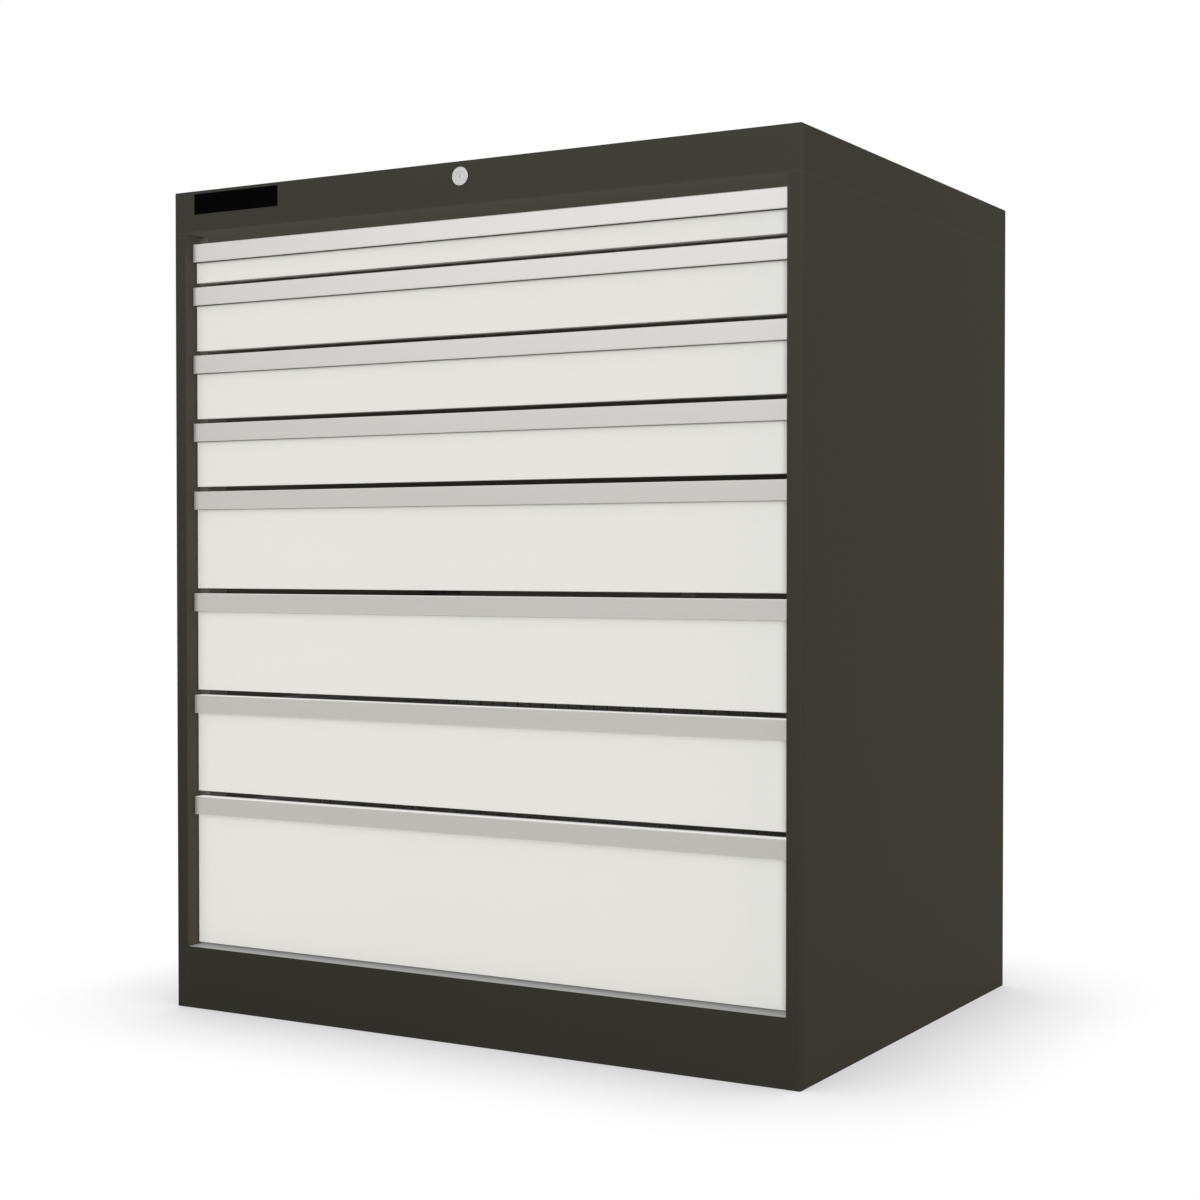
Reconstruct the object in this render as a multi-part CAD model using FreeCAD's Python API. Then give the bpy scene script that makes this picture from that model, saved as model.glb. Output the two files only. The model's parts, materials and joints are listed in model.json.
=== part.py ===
import FreeCAD, Part
import math
import os
from FreeCAD import Vector

# Heavy-duty drawer cabinet. Millimetres, X to the right, Y to the back, Z up.
# The origin is on the floor, under the middle of the overall box.
# Depths are given from the front face of the housing and grow towards the back.

# Drawer modules, from the top of the opening down
top_module = 75.0
shallow_module = 100.0
middle_module = 150.0
deep_module = 225.0
shallow_count = 3
middle_count = 3

# Housing
plinth_height = 90.0
cap_height = 60.0
housing_sheet = 1.5
stile_width = 20.0
stile_depth = 30.0
rear_flange = 25.0
seat_flange = 18.0
foot_flange = 25.0
plinth_flange = 28.5
flange_gap = 1.0
pan_skirt = 25.0
rear_room = 114.5
edge_round = 2.0
seam_round = 0.7
lock_rail_depth = 112.0
lock_rail_upstand = 28.0
cap_rear_flange = 20.0

# Base bearers under the floor pan
bearer_width = 40.0
bearer_inset = 160.0

# Uprights with their slots
upright_sheet = 2.0
upright_depth = 25.0
upright_width = 40.0
front_upright_start = 42.0
rear_upright_setback = 4.0
slot_pitch = 25.0
slot_height = 12.0
slot_width = 5.0
tab_clearance = 0.5
tab_length = 4.0

# Drawer trays
tray_width = 900.0
tray_length = 600.0
tray_sheet = 1.5
tray_lift = 8.0
tray_headroom = 14.0
tray_rim = 6.0
top_reveal = 11.5

# Drawer fronts
front_setback = 22.0
front_depth = 14.0
front_sheet = 1.5
front_side_gap = 2.2
front_bottom_gap = 3.5
front_lip = 18.0
front_round = 1.0

# Handle extrusions
handle_setback = 11.0
handle_height = 26.2
handle_top_gap = 4.0
handle_end_gap = 2.6
handle_wall = 2.0
handle_foot = 4.0
handle_round = 1.2
handle_lip_round = 0.8

# Runners: cabinet rail, carriage and drawer rail
travel = 600.0
rail_sheet = 2.0
rail_lip = 9.5
rail_gap = 1.0
rail_lift = 25.0
rail_start = 44.0
rail_tail = 37.0
cabinet_rail_height = 40.0
drawer_rail_height = 34.0
drawer_rail_start = 40.0
drawer_rail_end_gap = 2.0
carriage_sheet = 2.0
carriage_height = 26.0
carriage_start_gap = 2.0
carriage_tail = 25.0
roller_width = 8.0
roller_side_gap = 0.3
roller_clearance = 0.3
roller_lead = 18.0
roller_pitch = 129.0
roller_count = 3
axle_radius = 4.0
axle_clearance = 0.08
axle_head_radius = 6.5
axle_head = 1.2
stop_height = 6.0
stop_gap = 2.0

# Lock
lock_drop = 21.0
lock_proud = 2.0
barrel_radius = 9.5
barrel_length = 25.0
barrel_flange_radius = 12.75
barrel_hole_clearance = 0.2
nut_across_flats = 24.0
nut_height = 4.0
plug_radius = 6.5
plug_clearance = 0.05
plug_recess = 0.3
plug_tail = 2.0
key_slot_width = 1.4
key_slot_height = 7.0
key_slot_depth = 6.0
rod_radius = 4.0
lock_shift = 10.0
crank_radius = 12.0
crank_rest_angle = 45.0
crank_sheet = 4.0
crank_gap = 4.0
crank_pin_radius = 2.5
crank_pin_overhang = 2.0
pin_slot_clearance = 0.6

# Lock bar and the catches that it holds
bar_room = 29.0
bar_sheet = 4.0
bar_width = 28.0
bar_top_margin = 9.0
bar_rest_height = 6.0
bar_clearance = 0.5
tooth_reach = 12.0
tooth_height = 10.0
stud_radius = 3.0
stud_gap = 2.0
stud_end_gap = 2.0
stud_length = 14.0
catch_lift = 40.0
catch_height = 16.0
catch_sheet = 3.0
catch_foot = 15.0
catch_tail = 5.0
guide_height = 12.0
guide_wall = 3.0
guide_drop = 20.0
rod_bracket_width = 30.0
rod_bracket_sheet = 3.0
rod_bracket_flange = 17.0
rod_bracket_setback = 35.0

# Plate on the fascia
plate_width = 153.6
plate_height = 29.6
plate_left_inset = 37.8
plate_drop = 4.8
plate_sheet = 1.0
plate_round = 0.6

# Screws and bolts
screw_radius = 2.0
screw_head_radius = 4.5
screw_head = 2.0
screw_hole_clearance = 0.2
screw_tail = 3.0
screw_rows = 6
screw_inset = 13.0
screw_end_inset = 45.0
screw_cross = 5.4
screw_cross_width = 1.1
screw_cross_depth = 1.2
bolt_radius = 3.0
bolt_across_flats = 10.0
bolt_head = 4.0
bolt_inset = 9.0
bolt_depths = (150.0, 370.0, 590.0)

# How far a cut runs past the faces it goes through, and how close two places count as one
cut_overrun = 1.0
same_place = 0.01

# Sizes that follow from the ones above
modules = [top_module] + [shallow_module] * shallow_count + [middle_module] * middle_count + [deep_module]
opening_bottom = plinth_height
opening_top = plinth_height + sum(modules)
height = opening_top + cap_height

cabinet_rail_depth = rail_lip + rail_sheet
drawer_rail_depth = rail_lip + rail_sheet
runner_room = drawer_rail_depth + rail_gap + carriage_sheet + rail_gap + cabinet_rail_depth
tray_half = tray_width / 2
tray_side = tray_half + tray_sheet
upright_face = tray_side + runner_room
inner_half = upright_face + upright_depth
half = inner_half + housing_sheet
opening_half = half - stile_width

tray_front = front_setback + front_depth
tray_rear = tray_front + tray_length + 2 * tray_sheet
depth = tray_rear + rear_room + housing_sheet
back_panel_face = depth - 2 * housing_sheet
front_y = lock_proud - (depth + lock_proud + screw_head) / 2

front_half = opening_half - front_side_gap
handle_half = front_half - handle_end_gap

carriage_start = rail_start + carriage_start_gap
inner_rollers = [rail_start + roller_lead + roller_pitch * step for step in range(roller_count)]
outer_rollers = [start + travel / 2 for start in inner_rollers]
carriage_end = outer_rollers[-1] + carriage_tail
rail_end = carriage_end + rail_tail
rear_upright_start = rail_end - rear_upright_setback - upright_width

lock_z = height - lock_drop
barrel_flange_round = lock_proud / 3
crank_arm = lock_shift / (2 * math.sin(math.radians(crank_rest_angle)))
pin_offset = crank_arm * math.cos(math.radians(crank_rest_angle))
guide_drawers = (1, 1 + shallow_count, 1 + shallow_count + middle_count)
bar_front = tray_rear + bar_room
bar_back = bar_front + bar_sheet
crank_back = bar_front - crank_gap
stud_depth = bar_back + stud_gap + stud_radius
arm_inside = bar_width / 2 + tooth_reach + stud_end_gap + stud_length


def box(xs, ys, zs):
    corner = Vector(xs[0], front_y + ys[0], zs[0])
    return Part.makeBox(xs[1] - xs[0], ys[1] - ys[0], zs[1] - zs[0], corner)


def cylinder_x(radius, xs, y, z):
    return Part.makeCylinder(radius, xs[1] - xs[0], Vector(xs[0], front_y + y, z), Vector(1, 0, 0))


def cylinder_y(radius, x, ys, z):
    return Part.makeCylinder(radius, ys[1] - ys[0], Vector(x, front_y + ys[0], z), Vector(0, 1, 0))


def cylinder_z(radius, x, y, zs):
    return Part.makeCylinder(radius, zs[1] - zs[0], Vector(x, front_y + y, zs[0]))


def hexagon(across_flats, centre, turn, direction, length):
    sides = 6
    radius = across_flats / 2 / math.cos(math.pi / sides)
    corners = []
    for side in range(sides + 1):
        angle = 2 * math.pi * side / sides
        along = Vector(radius * math.cos(angle), 0, 0) + turn * (radius * math.sin(angle))
        corners.append(centre + along)
    return Part.Face(Part.makePolygon(corners)).extrude(direction * length)


def join(shapes):
    return shapes[0].fuse(shapes[1:]).removeSplitter()


def mirrored(shape):
    return shape.mirror(Vector(0, 0, 0), Vector(1, 0, 0))


def both_sides(shapes):
    return shapes + [mirrored(shape) for shape in shapes]


def at_place(edge, x=None, y=None, z=None):
    # True where a whole straight edge lies at the given places
    for vertex in edge.Vertexes:
        point = vertex.Point
        for value, wanted in ((point.x, x), (point.y, y), (point.z, z)):
            if wanted is not None and abs(value - wanted) > same_place:
                return False
    return len(edge.Vertexes) == 2


def rounded(shape, radius, places):
    edges = [edge for edge in shape.Edges if any(at_place(edge, **place) for place in places)]
    return shape.makeFillet(radius, edges)


def save(name, shapes):
    solids = [solid for shape in shapes for solid in shape.Solids]
    shape = solids[0] if len(solids) == 1 else Part.makeCompound(solids)
    shape.exportStep("parts/" + name + ".step")


# Places of the drawers, counted from the top
def drawer_bottom(number):
    return opening_top - sum(modules[:number])


def drawer_top(number):
    top = drawer_bottom(number) + modules[number - 1]
    return top - top_reveal if number == 1 else top


def handle_bottom(number):
    return drawer_top(number) - handle_top_gap - handle_height


def rail_centre(number):
    return drawer_bottom(number) + rail_lift


def stud_height(number):
    return drawer_bottom(number) + catch_lift


drawer_numbers = range(1, len(modules) + 1)


# Housing
def screw_heights():
    low = opening_bottom + screw_end_inset
    step = (opening_top - screw_end_inset - low) / (screw_rows - 1)
    return [low + step * row for row in range(screw_rows)]


def screw_holes():
    radius = screw_radius + screw_hole_clearance
    holes = [cylinder_y(radius, half - screw_inset, (depth - 3 * housing_sheet, depth + housing_sheet), z)
             for z in screw_heights()]
    return Part.makeCompound(holes)


def bolt_holes():
    radius = bolt_radius + screw_hole_clearance
    span = (opening_top - 2 * housing_sheet, opening_top + 2 * housing_sheet)
    return Part.makeCompound([cylinder_z(radius, half - bolt_inset, y, span) for y in bolt_depths])


def side_panel():
    wall = box((inner_half, half), (0, depth), (0, opening_top))
    stile = box((opening_half, half), (0, housing_sheet), (0, opening_top))
    stile_return = box((opening_half, opening_half + housing_sheet), (0, stile_depth), (0, opening_top))
    rear = box((half - rear_flange, half), (depth - housing_sheet, depth), (0, opening_top))
    seat_zs = (opening_top - housing_sheet, opening_top)
    seat = box((half - seat_flange, half), (stile_depth, back_panel_face), seat_zs)
    foot = box((half - foot_flange, half), (stile_depth, back_panel_face), (0, housing_sheet))
    panel = join([wall, stile, stile_return, rear, seat, foot])
    panel = rounded(panel, edge_round, [{"x": half, "y": front_y}, {"x": half, "y": front_y + depth}])
    panel = rounded(panel, seam_round, [{"x": half, "z": opening_top}])
    return panel.cut(screw_holes()).cut(bolt_holes())


def top_cap():
    shell = box((-half, half), (0, depth), (opening_top, height))
    back_y = front_y + depth
    uprights = [{"x": x, "y": y} for x in (-half, half) for y in (front_y, back_y)]
    top_edges = [{"x": -half, "z": height}, {"x": half, "z": height}]
    top_edges += [{"y": front_y, "z": height}, {"y": back_y, "z": height}]
    shell = rounded(shell, edge_round, uprights + top_edges)
    inside_ys = (housing_sheet, depth - housing_sheet)
    inside = box((-inner_half, inner_half), inside_ys, (opening_top, height - housing_sheet))
    shell = shell.cut(inside)
    flange_zs = (opening_top, opening_top + housing_sheet)
    seat = box((half - seat_flange, half - housing_sheet / 2), (lock_rail_depth, inside_ys[1]), flange_zs)
    rear_ys = (inside_ys[1] - cap_rear_flange, depth - housing_sheet / 2)
    rear = box((-inner_half, inner_half), rear_ys, flange_zs)
    cap = join([shell, seat, mirrored(seat), rear])
    cap = rounded(cap, seam_round, [{"x": -half, "z": opening_top}, {"x": half, "z": opening_top}])
    hole = cylinder_y(barrel_radius + barrel_hole_clearance, 0, (-housing_sheet, 2 * housing_sheet), lock_z)
    return cap.cut(hole).cut(bolt_holes()).cut(mirrored(bolt_holes()))


def lock_rail():
    zs = (opening_top, opening_top + housing_sheet)
    floor = box((-inner_half, inner_half), (housing_sheet, lock_rail_depth), zs)
    upstand_ys = (lock_rail_depth - housing_sheet, lock_rail_depth)
    upstand = box((-inner_half, inner_half), upstand_ys, (zs[0], zs[0] + lock_rail_upstand))
    return join([floor, upstand])


def back_panel():
    ys = (back_panel_face, depth - housing_sheet)
    sheet = box((-inner_half, inner_half), ys, (opening_bottom, opening_top))
    return sheet.cut(screw_holes()).cut(mirrored(screw_holes()))


def plinth_front():
    top = opening_bottom
    ys = (housing_sheet, housing_sheet + plinth_flange)
    face = box((-opening_half, opening_half), (0, housing_sheet), (0, top))
    face = rounded(face, seam_round, [{"y": front_y, "z": top}])
    flange_zs = (top - 2 * housing_sheet, top - housing_sheet)
    flange = box((-opening_half, opening_half), ys, flange_zs)
    foot = box((-opening_half, opening_half), ys, (0, housing_sheet))
    return join([face, flange, foot])


def plinth_rear():
    ys = (back_panel_face, depth - housing_sheet)
    face = box((-inner_half, inner_half), ys, (0, opening_bottom))
    foot_half = half - foot_flange - flange_gap
    foot = box((-foot_half, foot_half), (ys[0] - plinth_flange, ys[0]), (0, housing_sheet))
    return join([face, foot])


def floor_pan():
    zs = (opening_bottom - housing_sheet, opening_bottom)
    sill = box((-opening_half, opening_half), (housing_sheet, stile_depth), zs)
    sheet = box((-inner_half, inner_half), (stile_depth, back_panel_face), zs)
    skirt_zs = (opening_bottom - pan_skirt, zs[0])
    skirt = box((inner_half - housing_sheet, inner_half), (stile_depth, back_panel_face), skirt_zs)
    return join([sill, sheet, skirt, mirrored(skirt)])


def base_bearer(start):
    wide = half - foot_flange - flange_gap
    top = opening_bottom - housing_sheet
    web = box((-wide, wide), (start, start + housing_sheet), (0, top))
    seat = box((-wide, wide), (start, start + bearer_width), (top - housing_sheet, top))
    foot = box((-wide, wide), (start, start + bearer_width), (0, housing_sheet))
    return join([web, seat, foot])


def base_bearers():
    return [base_bearer(start) for start in (bearer_inset, depth - bearer_inset - bearer_width)]


# Uprights, with a slot at each pitch step of each module
def slot_heights():
    heights = []
    for number in drawer_numbers:
        steps = int(modules[number - 1] / slot_pitch + 0.01)
        heights += [drawer_bottom(number) + slot_pitch * (step + 0.5) for step in range(steps)]
    return heights


def upright(start):
    zs = (opening_bottom, opening_top - housing_sheet)
    outer = (upright_face, inner_half)
    web = box((upright_face, upright_face + upright_sheet), (start, start + upright_width), zs)
    first = box(outer, (start, start + upright_sheet), zs)
    last = box(outer, (start + upright_width - upright_sheet, start + upright_width), zs)
    middle = start + upright_width / 2
    ys = (middle - slot_width / 2, middle + slot_width / 2)
    through = (upright_face - upright_sheet, upright_face + 2 * upright_sheet)
    slots = [box(through, ys, (z - slot_height / 2, z + slot_height / 2)) for z in slot_heights()]
    return join([web, first, last]).cut(Part.makeCompound(slots))


def uprights():
    return both_sides([upright(front_upright_start), upright(rear_upright_start)])


# Runners. The right side is drawn, and the left is its mirror image.
def cabinet_rail(number):
    centre = rail_centre(number)
    low = centre - cabinet_rail_height / 2
    high = centre + cabinet_rail_height / 2
    web_start = upright_face - rail_sheet
    lips = (upright_face - cabinet_rail_depth, upright_face)
    ys = (rail_start, rail_end)
    web = box((web_start, upright_face), ys, (low, high))
    top_lip = box(lips, ys, (high - rail_sheet, high))
    bottom_lip = box(lips, ys, (low, low + rail_sheet))
    end_plate = box(lips, (rail_end - rail_sheet, rail_end), (low, high))
    stop_ys = (rail_start + stop_gap, rail_start + stop_gap + rail_sheet)
    stop_xs = (web_start - roller_width, upright_face)
    stop = box(stop_xs, stop_ys, (low, low + rail_sheet + stop_height))
    pieces = [web, top_lip, bottom_lip, end_plate, stop]
    for start in (front_upright_start, rear_upright_start):
        middle = start + upright_width / 2
        wide = slot_width / 2 - tab_clearance
        tall = slot_height / 2 - 2 * tab_clearance
        for z in (centre - slot_pitch / 2, centre + slot_pitch / 2):
            tab_xs = (web_start, upright_face + tab_length)
            pieces.append(box(tab_xs, (middle - wide, middle + wide), (z - tall, z + tall)))
    return join(pieces)


def cabinet_rails():
    return both_sides([cabinet_rail(number) for number in drawer_numbers])


def roller(radius, xs, y, z):
    bore = cylinder_x(axle_radius + axle_clearance, xs, y, z)
    return cylinder_x(radius, xs, y, z).cut(bore)


def carriage(number):
    # A bar with riveted axles: outer rollers run in the cabinet rail, inner ones in the drawer rail
    centre = rail_centre(number)
    bar_in = tray_side + drawer_rail_depth + rail_gap
    bar_out = bar_in + carriage_sheet
    half_height = carriage_height / 2
    zs = (centre - half_height, centre + half_height)
    outer_radius = cabinet_rail_height / 2 - rail_sheet - roller_clearance
    inner_radius = drawer_rail_height / 2 - rail_sheet - roller_clearance
    reach = roller_width + 2 * roller_side_gap
    bar = [box((bar_in, bar_out), (carriage_start, carriage_end), zs)]
    rollers = []
    for y in outer_rollers:
        face = bar_out + roller_side_gap
        rollers.append(roller(outer_radius, (face, face + roller_width), y, centre))
        bar.append(cylinder_x(axle_radius, (bar_in, bar_out + reach), y, centre))
        head = (bar_out + reach, bar_out + reach + axle_head)
        bar.append(cylinder_x(axle_head_radius, head, y, centre))
    for y in inner_rollers:
        face = bar_in - roller_side_gap
        rollers.append(roller(inner_radius, (face - roller_width, face), y, centre))
        bar.append(cylinder_x(axle_radius, (bar_in - reach, bar_out), y, centre))
        head = (bar_in - reach - axle_head, bar_in - reach)
        bar.append(cylinder_x(axle_head_radius, head, y, centre))
    return both_sides([join(bar)] + rollers)


def drawer_rail(number):
    centre = rail_centre(number)
    low = centre - drawer_rail_height / 2
    high = centre + drawer_rail_height / 2
    ys = (drawer_rail_start, tray_rear - drawer_rail_end_gap)
    lips = (tray_side, tray_side + drawer_rail_depth)
    web = box((tray_side, tray_side + rail_sheet), ys, (low, high))
    top_lip = box(lips, ys, (high - rail_sheet, high))
    bottom_lip = box(lips, ys, (low, low + rail_sheet))
    return join([web, top_lip, bottom_lip])


def catch(number):
    # Arm on the rear of the tray, with the stud that the lock bar's tooth holds
    z = stud_height(number)
    zs = (z - catch_height / 2, z + catch_height / 2)
    arm_xs = (arm_inside, arm_inside + catch_sheet)
    arm = box(arm_xs, (tray_rear, stud_depth + catch_tail), zs)
    foot = box((arm_inside, arm_inside + catch_foot), (tray_rear, tray_rear + catch_sheet), zs)
    stud = cylinder_x(stud_radius, (arm_inside - stud_length, arm_inside), stud_depth, z)
    return [join([arm, foot]), stud]


def drawer_rails(number):
    return both_sides([drawer_rail(number)]) + catch(number)


# Drawers
def tray(number):
    low = drawer_bottom(number) + tray_lift
    high = drawer_top(number) - tray_headroom
    if number == 1:
        high = handle_bottom(number) + handle_height - tray_sheet
    outer = box((-tray_side, tray_side), (tray_front, tray_rear), (low, high))
    inside_ys = (tray_front + tray_sheet, tray_rear - tray_sheet)
    inside = box((-tray_half, tray_half), inside_ys, (low + tray_sheet, high + tray_sheet))
    rim = box((tray_side, tray_side + tray_rim), (tray_front, tray_rear), (high - tray_sheet, high))
    return join([outer.cut(inside), rim, mirrored(rim)])


def drawer_front(number):
    low = drawer_bottom(number) + front_bottom_gap
    high = handle_bottom(number)
    behind = (front_setback, tray_front)
    face = box((-front_half, front_half), (front_setback, front_setback + front_sheet), (low, high))
    side = box((front_half - front_sheet, front_half), behind, (low, high))
    bottom = box((-front_half, front_half), behind, (low, low + front_sheet))
    shelf_ys = (front_setback, tray_front - handle_wall)
    shelf = box((-front_half, front_half), shelf_ys, (high - front_sheet, high))
    lip_half = tray_half - tray_sheet
    lip_ys = (tray_front - front_sheet, tray_front)
    lip = box((-lip_half, lip_half), lip_ys, (low, low + front_lip))
    shape = join([face, side, mirrored(side), bottom, shelf, lip])
    face_y = front_y + front_setback
    edges = [{"x": front_half, "y": face_y}, {"x": -front_half, "y": face_y}, {"y": face_y, "z": low}]
    return rounded(shape, front_round, edges)


def handle(number):
    low = handle_bottom(number)
    high = low + handle_height
    rear_ys = (tray_front - handle_wall, tray_front)
    xs = (-handle_half, handle_half)
    grip = box(xs, (handle_setback, handle_setback + handle_wall), (low, high))
    top = box(xs, (handle_setback, tray_front), (high - handle_wall, high))
    rear = box(xs, rear_ys, (low - handle_foot, high))
    shape = join([grip, top, rear])
    face_y = front_y + handle_setback
    shape = rounded(shape, handle_round, [{"y": face_y, "z": high}])
    lip_edges = [{"y": face_y, "z": low}, {"y": face_y + handle_wall, "z": low}]
    return rounded(shape, handle_lip_round, lip_edges)


# Lock
def lock_barrel():
    body = cylinder_y(barrel_radius, 0, (-lock_proud, barrel_length), lock_z)
    flange = cylinder_y(barrel_flange_radius, 0, (-lock_proud, 0), lock_z)
    rim_y = front_y - lock_proud
    flange_edge = [edge for edge in flange.Edges if at_circle(edge, rim_y)]
    flange = flange.makeFillet(barrel_flange_round, flange_edge)
    bore = cylinder_y(plug_radius + plug_clearance, 0, (-lock_proud, barrel_length), lock_z)
    return join([flange, body]).cut(bore)


def at_circle(edge, y):
    return all(abs(vertex.Point.y - y) < same_place for vertex in edge.Vertexes)


def lock_nut():
    centre = Vector(0, front_y + housing_sheet, lock_z)
    block = hexagon(nut_across_flats, centre, Vector(0, 0, 1), Vector(0, 1, 0), nut_height)
    bore = cylinder_y(barrel_radius + plug_clearance, 0, (0, housing_sheet + nut_height), lock_z)
    return block.cut(bore)


def lock_plug():
    face = plug_recess - lock_proud
    plug = cylinder_y(plug_radius, 0, (face, barrel_length + plug_tail), lock_z)
    slot_ys = (face, face + key_slot_depth)
    slot_zs = (lock_z - key_slot_height / 2, lock_z + key_slot_height / 2)
    return plug.cut(box((-key_slot_width / 2, key_slot_width / 2), slot_ys, slot_zs))


def lock_rod():
    rod = cylinder_y(rod_radius, 0, (barrel_length + plug_tail, crank_back), lock_z)
    disc = cylinder_y(crank_radius, 0, (crank_back - crank_sheet, crank_back), lock_z)
    pin_ys = (crank_back - crank_sheet, bar_back + crank_pin_overhang)
    pin = cylinder_y(crank_pin_radius, -pin_offset, pin_ys, lock_z - pin_offset)
    return join([rod, disc, pin])


def lock_bar():
    # The bar with its upright slot for the crank pin, and a tooth for each drawer welded to its edge.
    # It is drawn unlocked: locking moves it to the right, and its teeth come in front of the studs.
    wide = bar_width / 2
    ys = (bar_front, bar_back)
    pin_z = lock_z - pin_offset
    low = opening_bottom + bar_rest_height
    bar = box((-wide, wide), ys, (low, pin_z + bar_top_margin))
    room = crank_pin_radius + pin_slot_clearance
    slot_xs = (-pin_offset - room, -pin_offset + room)
    slot_ys = (bar_front - cut_overrun, bar_back + cut_overrun)
    slot = box(slot_xs, slot_ys, (lock_z - crank_arm - room, pin_z + room))
    teeth = []
    for number in drawer_numbers:
        z = stud_height(number)
        teeth.append(box((wide, wide + tooth_reach), ys, (z - tooth_height / 2, z + tooth_height / 2)))
    return [bar.cut(slot)] + teeth


def bar_hole_xs():
    # Room for the bar from its unlocked to its locked place
    return (-bar_width / 2 - bar_clearance, bar_width / 2 + lock_shift + bar_clearance)


def bar_guide(z):
    # A frame round the bar, on two legs that stand out from the back panel
    hole_xs = bar_hole_xs()
    hole_ys = (bar_front - bar_clearance, bar_back + bar_clearance)
    xs = (hole_xs[0] - guide_wall, hole_xs[1] + guide_wall)
    zs = (z, z + guide_height)
    frame = box(xs, (hole_ys[0] - guide_wall, hole_ys[1] + guide_wall), zs)
    left_leg = box((xs[0], hole_xs[0]), (hole_ys[1], back_panel_face), zs)
    right_leg = box((hole_xs[1], xs[1]), (hole_ys[1], back_panel_face), zs)
    return join([frame.cut(box(hole_xs, hole_ys, zs)), left_leg, right_leg])


def bar_foot():
    hole_xs = bar_hole_xs()
    hole_ys = (bar_front - bar_clearance, bar_back + bar_clearance)
    xs = (hole_xs[0] - guide_wall, hole_xs[1] + guide_wall)
    ys = (hole_ys[0] - guide_wall, hole_ys[1] + guide_wall)
    block = box(xs, ys, (opening_bottom, opening_bottom + guide_height))
    zs = (opening_bottom + bar_rest_height, opening_bottom + guide_height)
    return block.cut(box(hole_xs, hole_ys, zs))


def rod_bracket():
    wide = rod_bracket_width / 2
    start = crank_back - rod_bracket_setback
    ys = (start, start + rod_bracket_sheet)
    top = height - housing_sheet
    plate = box((-wide, wide), ys, (lock_z - barrel_radius, top))
    flange = box((-wide, wide), (start, start + rod_bracket_flange), (top - rod_bracket_sheet, top))
    bore_ys = (start - cut_overrun, ys[1] + cut_overrun)
    bore = cylinder_y(rod_radius + plug_clearance, 0, bore_ys, lock_z)
    return join([plate, flange]).cut(bore)


def lock_brackets():
    guides = [bar_guide(drawer_bottom(number) - guide_drop) for number in guide_drawers]
    return guides + [bar_foot(), rod_bracket()]


def name_plate():
    low = height - plate_drop - plate_height
    left = plate_left_inset - half
    plate = box((left, left + plate_width), (-plate_sheet, 0), (low, low + plate_height))
    y = front_y - plate_sheet
    edges = [{"y": y, "z": low}, {"y": y, "z": low + plate_height}]
    edges += [{"x": left, "y": y}, {"x": left + plate_width, "y": y}]
    return rounded(plate, plate_round, edges)


# Fasteners
def back_screw(z):
    x = half - screw_inset
    shank = cylinder_y(screw_radius, x, (back_panel_face - screw_tail, depth), z)
    head = cylinder_y(screw_head_radius, x, (depth, depth + screw_head), z)
    recess_ys = (depth + screw_head - screw_cross_depth, depth + screw_head)
    long = screw_cross / 2
    thin = screw_cross_width / 2
    upright_slot = box((x - thin, x + thin), recess_ys, (z - long, z + long))
    level_slot = box((x - long, x + long), recess_ys, (z - thin, z + thin))
    return join([shank, head]).cut(upright_slot).cut(level_slot)


def back_screws():
    return both_sides([back_screw(z) for z in screw_heights()])


def cap_bolt(y):
    seat = opening_top - housing_sheet
    centre = Vector(half - bolt_inset, front_y + y, seat - bolt_head)
    head = hexagon(bolt_across_flats, centre, Vector(0, 1, 0), Vector(0, 0, 1), bolt_head)
    shank_zs = (seat - bolt_head, seat + 2 * housing_sheet + screw_tail)
    shank = cylinder_z(bolt_radius, half - bolt_inset, y, shank_zs)
    return join([head, shank])


def cap_bolts():
    return both_sides([cap_bolt(y) for y in bolt_depths])


def main():
    os.makedirs("parts", exist_ok=True)
    panel = side_panel()
    save("right_side_panel", [panel])
    save("left_side_panel", [mirrored(panel)])
    save("top_cap", [top_cap()])
    save("lock_rail", [lock_rail()])
    save("back_panel", [back_panel()])
    save("plinth_front", [plinth_front()])
    save("plinth_rear", [plinth_rear()])
    save("floor_pan", [floor_pan()])
    save("base_bearers", base_bearers())
    save("uprights", uprights())
    save("cabinet_rails", cabinet_rails())
    save("lock_barrel", [lock_barrel()])
    save("lock_nut", [lock_nut()])
    save("lock_plug", [lock_plug()])
    save("lock_rod", [lock_rod()])
    save("lock_bar", lock_bar())
    save("lock_brackets", lock_brackets())
    save("name_plate", [name_plate()])
    save("back_screws", back_screws())
    save("cap_bolts", cap_bolts())
    for number in drawer_numbers:
        save("tray_%d" % number, [tray(number)])
        save("front_%d" % number, [drawer_front(number)])
        save("handle_%d" % number, [handle(number)])
        save("drawer_rails_%d" % number, drawer_rails(number))
        save("carriage_%d" % number, carriage(number))


main()
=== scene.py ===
import json
import math

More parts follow.
